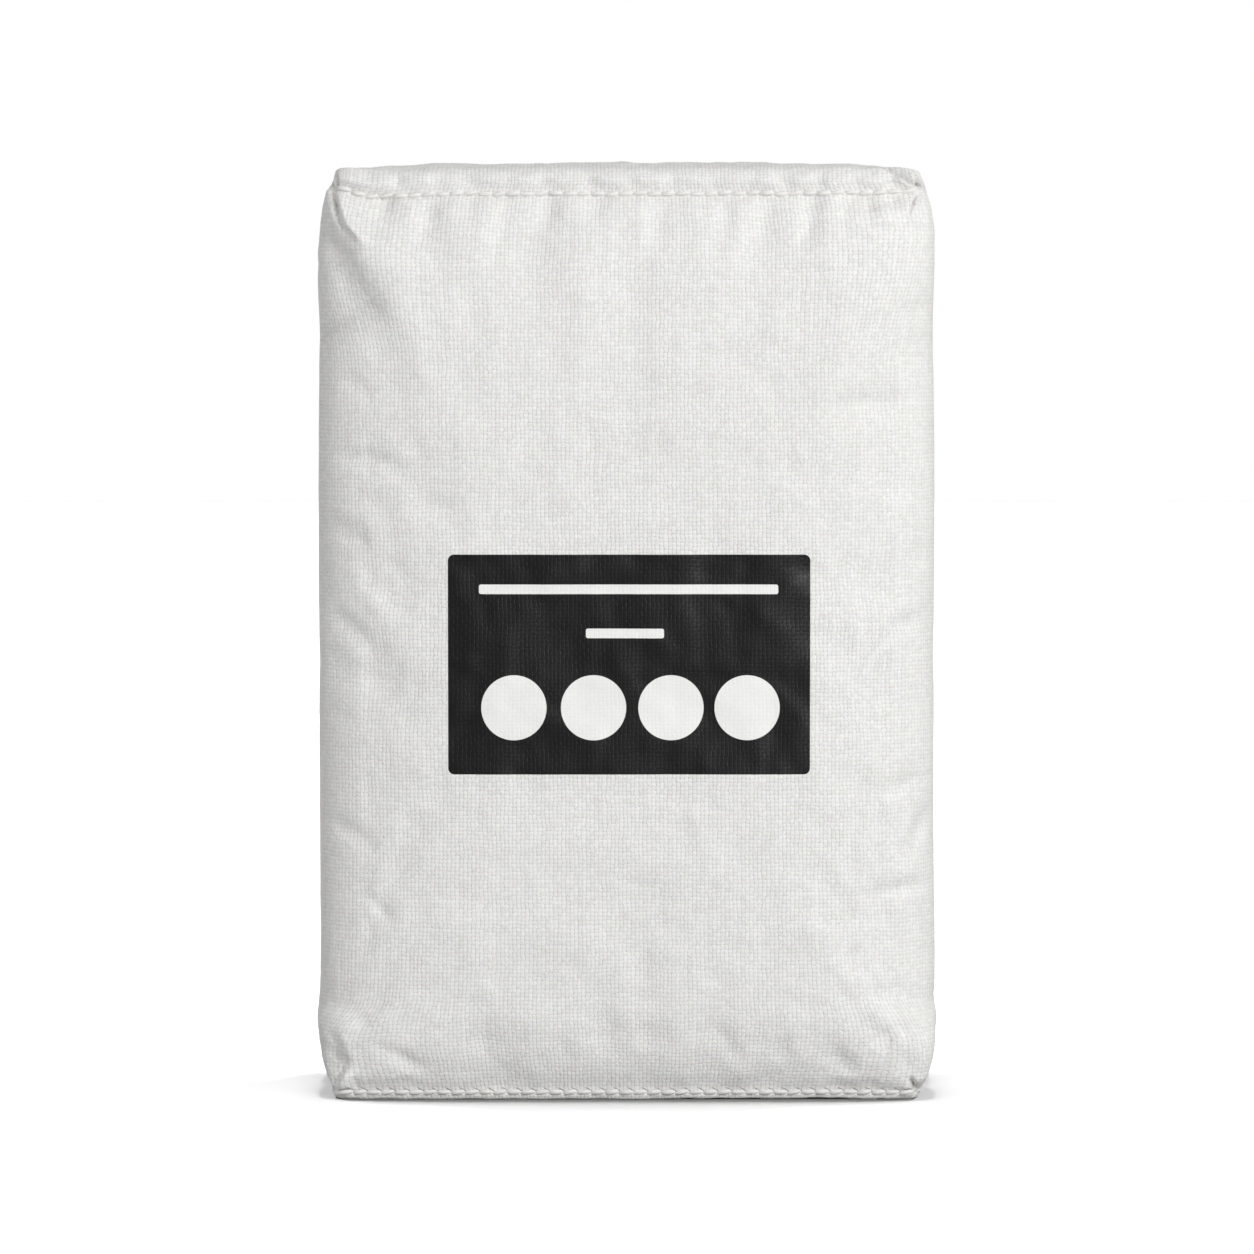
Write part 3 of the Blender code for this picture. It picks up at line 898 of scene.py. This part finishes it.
def makeClothMaterial():
    material, nodes, links = newMaterial("wovenCloth")
    bench = NodeBench(material)
    shader = nodes["Principled BSDF"]
    weaveMap = nodes.new("ShaderNodeUVMap")
    weaveMap.uv_map = "weave"
    tapes = sack["uvLength"] / clothLook["tapeWidth"]
    flat = bench.scaled(weaveMap.outputs["UV"], (tapes, tapes, 1.0))
    placeOnSack = nodes.new("ShaderNodeTexCoord").outputs["Object"]
    x, y, z = bench.split(placeOnSack)

    gaps, height = weavePattern(bench, flat)
    cloth = bench.mix(gaps, clothLook["colour"], clothLook["gapColour"])
    cloudy = bench.ramp(bench.noise(placeOnSack, 24.0, 3.0), 0.35, 0.65, 0.0, 0.04)
    cloth = bench.mix(cloudy, cloth, clothLook["greyed"])
    # painted shade: a dark tick above each stitch of the foot, where the pulled cloth dimples
    cloth = bench.mix(bench.math("MULTIPLY", footPull(bench, x, y, z), 0.75), cloth, clothLook["stitchDimpleShade"])

    panel, white = printMasks(bench, x, y, z)
    dark = bench.math("MULTIPLY", panel, bench.math("SUBTRACT", 1.0, white))
    pale = bench.math("MULTIPLY", panel, white)
    weaveInWhite = bench.math("MULTIPLY", gaps, printLook["whiteGaps"])
    paleInk = bench.mix(weaveInWhite, printLook["white"], clothLook["gapColour"])
    worn = bench.math("MULTIPLY", bench.math("SUBTRACT", 1.0, gaps), printLook["wear"])
    darkInk = bench.mix(worn, printLook["ink"], printLook["wornInk"])
    colour = bench.mix(pale, bench.mix(dark, cloth, darkInk), paleInk)
    links.new(colour, shader.inputs["Base Color"])

    roughness = bench.ramp(bench.noise(flat, 0.35, 2.0), 0.3, 0.7, 0.50, 0.60)
    roughness = bench.math("MULTIPLY_ADD", panel, -printLook["smoother"], roughness)
    links.new(roughness, shader.inputs["Roughness"])
    shader.inputs["Specular IOR Level"].default_value = clothLook["specular"]
    unfilled = bench.math("SUBTRACT", 1.0, bench.math("MULTIPLY", panel, printLook["levelling"]))
    relief = bench.bumpFrom(bench.math("MULTIPLY", height, unfilled), clothLook["weaveHeight"])
    links.new(relief, shader.inputs["Normal"])
    return material


clothMaterial = makeClothMaterial()
sackPiece.data.materials.clear()
sackPiece.data.materials.append(clothMaterial)

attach(sackPiece, "root")
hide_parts("sack")


# one stitch, copied along each seam

def makeStitch():
    # drawn out from a small disc, swelling in the middle, its two ends dipping under
    stations = [-1.0, -0.82, -0.5, 0.0, 0.5, 0.82, 1.0]
    swell = [0.40, 0.74, 0.96, 1.0, 0.96, 0.74, 0.40]
    half, rise, dive = thread["halfLength"], thread["rise"], thread["dive"]
    offCloth = [rise - (rise + dive) * abs(s) ** 2.2 for s in stations]
    deselectAll()
    bpy.ops.mesh.primitive_circle_add(vertices=8, radius=thread["thickness"] * swell[0], fill_type="NGON",
                                      location=(-half, -offCloth[0], 0), rotation=(0, math.pi / 2, 0))
    stitch = bpy.context.object
    stitch.name = "stitch"
    bpy.ops.object.transform_apply(location=True, rotation=True, scale=True)
    bpy.ops.object.mode_set(mode="EDIT")
    bpy.ops.mesh.select_mode(type="FACE")
    bpy.ops.mesh.select_all(action="SELECT")
    for k in range(1, len(stations)):
        move = (half * (stations[k] - stations[k - 1]), offCloth[k - 1] - offCloth[k], 0)
        bpy.ops.mesh.extrude_region_move(TRANSFORM_OT_translate={"value": move})
        growth = swell[k] / swell[k - 1]
        middle = (half * stations[k], -offCloth[k], 0)
        bpy.ops.transform.resize(value=(1, growth, growth), center_override=middle)
    bpy.ops.mesh.select_all(action="SELECT")
    bpy.ops.mesh.normals_make_consistent(inside=False)
    bpy.ops.object.mode_set(mode="OBJECT")
    points = readPoints(stitch.data)
    points[:, 1] *= thread["proud"] / thread["thickness"]
    writePoints(stitch.data, points)
    bpy.ops.object.shade_smooth()
    return stitch


def sewRow(stitch, name, seamLine, plumpness):
    cloth = BVHTree.FromObject(sackPiece, bpy.context.evaluated_depsgraph_get())

    def onCloth(x):
        return cloth.ray_cast(Vector((x, -0.3, seamLine(x))), Vector((0, 1, 0)))[:2]

    copies = []
    pitch = stitchPitch()
    for k in range(thread["stitches"]):
        x = thread["ends"][0] + (k + 0.5) * pitch
        middle, normal = onCloth(x)
        before, after = onCloth(x - 0.3 * pitch)[0], onCloth(x + 0.3 * pitch)[0]
        alongSeam = (after - before).normalized()
        outward = (normal - alongSeam * normal.dot(alongSeam)).normalized()
        outward = (outward + Vector((0, -thread["facing"], 0))).normalized()
        outward = (outward - alongSeam * outward.dot(alongSeam)).normalized()
        upward = (-outward).cross(alongSeam) * -1.0
        turn = math.radians(thread["slant"] + thread["slantSpread"] * math.sin(2.4 * k))
        lengthwise = alongSeam * math.cos(turn) + upward * math.sin(turn)
        upwards = upward * math.cos(turn) - alongSeam * math.sin(turn)
        size = plumpness + thread["plumpSpread"] * math.sin(1.7 * k + 0.6)
        copied = stitch.copy()
        copied.data = stitch.data.copy()
        bpy.context.scene.collection.objects.link(copied)
        points = readPoints(copied.data)
        axes = np.array([lengthwise, -outward, upwards])
        points = np.array(middle) + (points * np.array([1.0, size, size])) @ axes
        writePoints(copied.data, points)
        copies.append(copied)
    makeActive(copies[0])
    for copied in copies:
        copied.select_set(True)
    bpy.ops.object.join()
    row = bpy.context.object
    row.name = name
    subdivideOnce(row, "Round thread")
    return row


def makeThreadMaterial():
    material, nodes, links = newMaterial("closingThread")
    bench = NodeBench(material)
    shader = nodes["Principled BSDF"]
    placeOnSack = nodes.new("ShaderNodeTexCoord").outputs["Object"]
    x, y, z = bench.split(placeOnSack)
    slanted = bench.math("MULTIPLY_ADD", z, 1.3, x)
    twist = bench.math("SINE", bench.math("MULTIPLY", slanted, 2.0 * math.pi / thread["twist"]))
    plies = bench.ramp(twist, -1.0, 0.4)
    fuzz = bench.noise(placeOnSack, 1800.0, 2.0)
    # darker between the plies: painted shade in the twist's grooves, plus a random fuzz tone
    betweenPlies = bench.math("SUBTRACT", 1.0, plies)
    plyShadeAndFuzz = bench.math("MULTIPLY_ADD", betweenPlies, 0.35, bench.math("MULTIPLY", fuzz, 0.25))
    links.new(bench.mix(plyShadeAndFuzz, thread["colour"], thread["plyShadeAndFuzz"]), shader.inputs["Base Color"])
    shader.inputs["Roughness"].default_value = 0.75
    shader.inputs["Specular IOR Level"].default_value = 0.2
    relief = bench.bumpFrom(bench.math("MULTIPLY_ADD", fuzz, 0.4, plies), 0.00012)
    links.new(relief, shader.inputs["Normal"])
    return material


def topSeamLine(x):
    wave = 0.00022 * math.sin(310.0 * x)
    return sack["topSeam"] + float(seamOffset(x)) + wave + 0.00015 * math.sin(137.0 * x)


def bottomSeamLine(x):
    return sack["bottomSeam"] - 0.0010


oneStitch = makeStitch()
threadMaterial = makeThreadMaterial()
topPlump, bottomPlump = thread["plump"]
for rowName, seamLine, plumpness, solid in (
        ("topThread", topSeamLine, topPlump, "top_stitching"),
        ("bottomThread", bottomSeamLine, bottomPlump, "bottom_stitching")):
    row = sewRow(oneStitch, rowName, seamLine, plumpness)
    row.data.materials.clear()
    row.data.materials.append(threadMaterial)
    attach(row, "root")
    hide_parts(solid)
    print(rowName, "sewn:", len(row.data.polygons), "faces")
bpy.data.objects.remove(oneStitch)


# studio: pale floor, soft light, camera at the photograph's angle

studio = {
    "cameraDistance": 2.8,
    "elevation": 4.0,
    "aim": (0.0006, -0.050, 0.2316),
    "frameWidth": 0.6077,
    "sensor": 36.0,             # mm
    "fillAbove": 0.645,         # soft light from all round, weaker from below
    "fillBelow": 0.455,
    "key": {"place": (1.45, -2.25, 1.15), "aim": (0, 0, 0.22), "power": 46.5, "size": (1.4, 1.6)},
    "sheen": {                  # low on the right, seen only as a shine
        "place": (1.05, -2.50, 0.20), "aim": (0.08, -0.05, 0.21), "power": 37.0, "size": (0.5, 1.2),
    },
    "washes": (                 # on the floor alone: degrees from the left, degrees from behind, strength
        (0, 0, 3.5), (0, 6, 0.45),
        (30, 2, 1.5), (30, 8.5, 1.25), (30, 18, 1.95),
        (-30, 2, 1.5), (-30, 8.5, 1.25), (-30, 18, 1.95),
    ),
    "washSpread": 5.0,
    "washHeight": 2.0,
    "floorSize": 12.0,
    "paper": 0.287,
    "paperGlow": 0.124,         # what the paper throws back on the sack
}


def makeFloor():
    deselectAll()
    bpy.ops.mesh.primitive_plane_add(size=studio["floorSize"], location=(0, 0, 0))
    floor = bpy.context.object
    floor.name = "studioFloor"
    material, nodes, links = newMaterial("studioPaper")
    seenPaper = nodes["Principled BSDF"]
    seenPaper.inputs["Base Color"].default_value = (studio["paper"],) * 3 + (1.0,)
    seenPaper.inputs["Roughness"].default_value = 0.9
    dullPaper = nodes.new("ShaderNodeBsdfDiffuse")
    dullPaper.inputs["Color"].default_value = (studio["paperGlow"],) * 3 + (1.0,)
    splitByRay(NodeBench(material), dullPaper, seenPaper, nodes["Material Output"].inputs["Surface"])
    floor.data.materials.append(material)
    return floor


def makeWorld():
    world = bpy.data.worlds.new("studioWorld")
    world.use_nodes = True
    bench = NodeBench(world)
    fillLight = bench.nodes["Background"]
    fillLight.inputs["Color"].default_value = (1, 1, 1, 1)
    upward = bench.split(bench.nodes.new("ShaderNodeTexCoord").outputs["Generated"])[2]
    fill = bench.straightRamp(upward, -0.5, 0.5, studio["fillBelow"], studio["fillAbove"])
    bench.links.new(fill, fillLight.inputs["Strength"])
    whitePaper = bench.nodes.new("ShaderNodeBackground")        # what shows behind the sack
    whitePaper.inputs["Color"].default_value = (1, 1, 1, 1)
    splitByRay(bench, fillLight, whitePaper, bench.nodes["World Output"].inputs["Surface"])
    bpy.context.scene.world = world


def putAimed(name, data, location, target):
    item = bpy.data.objects.new(name, data)
    bpy.context.scene.collection.objects.link(item)
    item.location = location
    direction = Vector(target) - Vector(location)
    item.rotation_euler = direction.to_track_quat("-Z", "Y").to_euler()
    return item


def addLamp(name, kind, location, target, power):
    light = bpy.data.lights.new(name, kind)
    light.energy = power
    return putAimed(name, light, location, target)


def addSoftbox(name, box):
    lamp = addLamp(name, "AREA", box["place"], box["aim"], box["power"])
    lamp.data.shape = "RECTANGLE"
    lamp.data.size, lamp.data.size_y = box["size"]
    return lamp


def washFloor(floor):
    # suns that light only the floor
    lit = bpy.data.collections.new("floorOnly")
    lit.objects.link(floor)
    up = studio["washHeight"]
    for fromLeft, fromBehind, strength in studio["washes"]:
        place = (-up * math.tan(math.radians(fromLeft)), up * math.tan(math.radians(fromBehind)), up)
        wash = addLamp("floorWash", "SUN", place, (0, 0, 0), strength)
        wash.data.angle = math.radians(studio["washSpread"])
        wash.light_linking.receiver_collection = lit


def makeCamera():
    data = bpy.data.cameras.new("camera")
    data.sensor_width = studio["sensor"]
    data.lens = studio["sensor"] * studio["cameraDistance"] / studio["frameWidth"]
    data.clip_end = 50.0
    tilt = math.radians(studio["elevation"])
    aim = Vector(studio["aim"])
    place = aim + studio["cameraDistance"] * Vector((0, -math.cos(tilt), math.sin(tilt)))
    bpy.context.scene.camera = putAimed("camera", data, place, aim)


floorPiece = makeFloor()
makeCamera()
makeWorld()
addSoftbox("keyFromRight", studio["key"])
sheen = addSoftbox("sheenOnPrint", studio["sheen"])
sheen.visible_diffuse = False
washFloor(floorPiece)
bpy.context.scene.view_settings.view_transform = "Standard"
print("studio ready")
